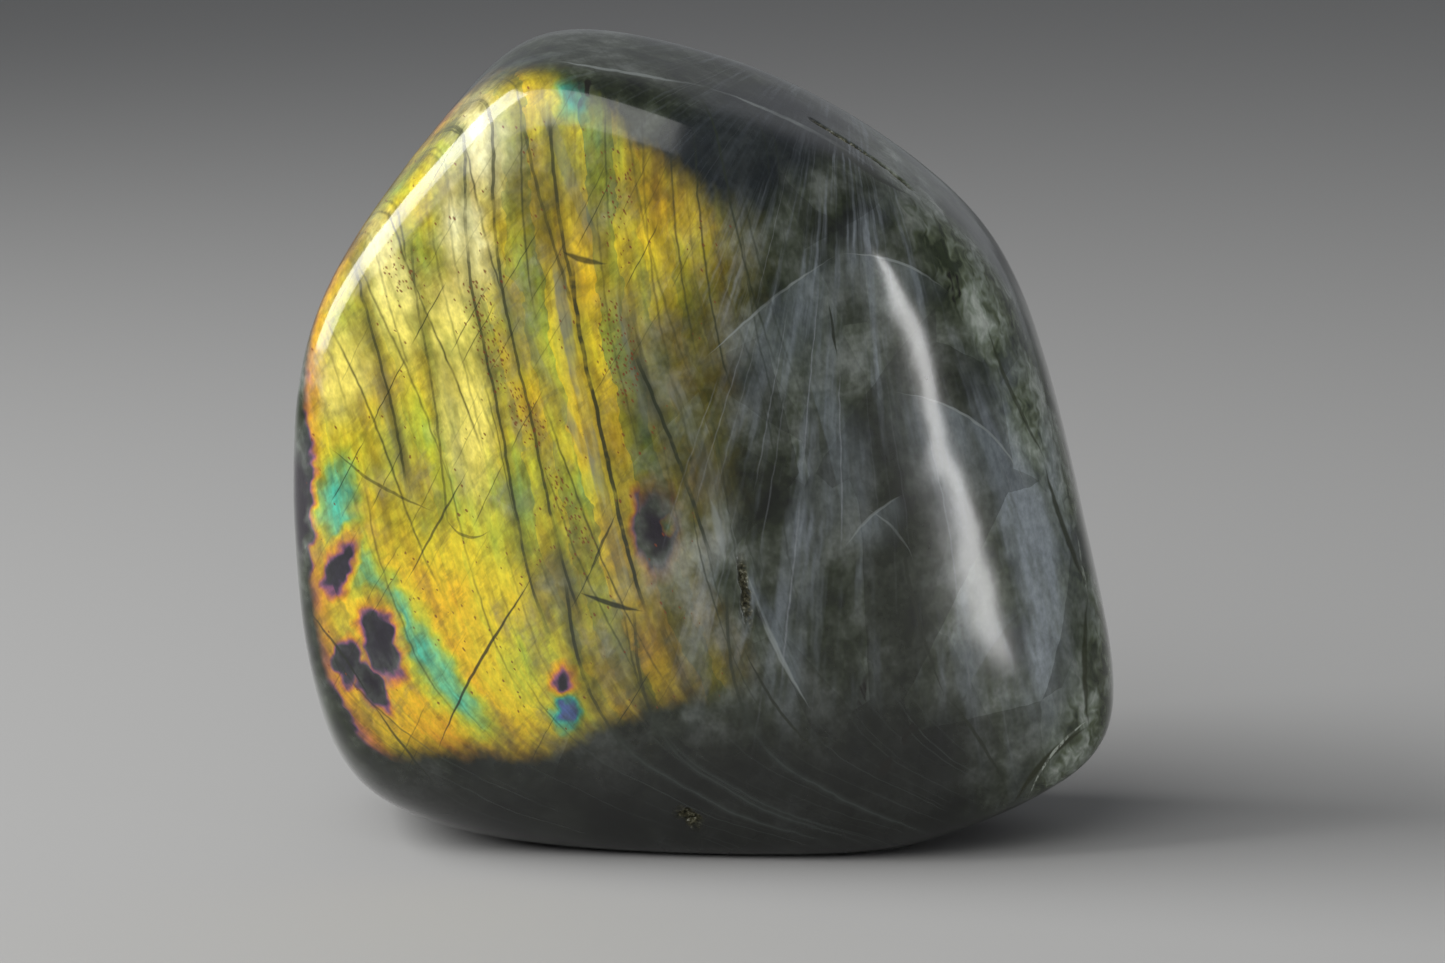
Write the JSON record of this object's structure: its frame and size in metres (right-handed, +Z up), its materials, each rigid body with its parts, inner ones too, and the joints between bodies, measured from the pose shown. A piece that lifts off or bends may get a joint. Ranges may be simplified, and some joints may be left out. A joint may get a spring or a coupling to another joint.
{
  "type": "polished labradorite",
  "caption": "Freestanding polished labradorite free form: upright rounded slab with softly ground faces on a small flat base.",
  "frame": {"origin": "middle of the stone's outline seen from above, at the height of its flat base", "axes": "+Z up from the base, +X to the right of someone facing the colour-flash face, +Y from that face to the back, through the stone's thin direction"},
  "size_m": [0.0782, 0.0408, 0.0777],
  "materials": {
    "polished_labradorite": "polished"
  },
  "bodies": {
    "root": {"labradorite": "polished_labradorite"}
  },
  "joints": []
}
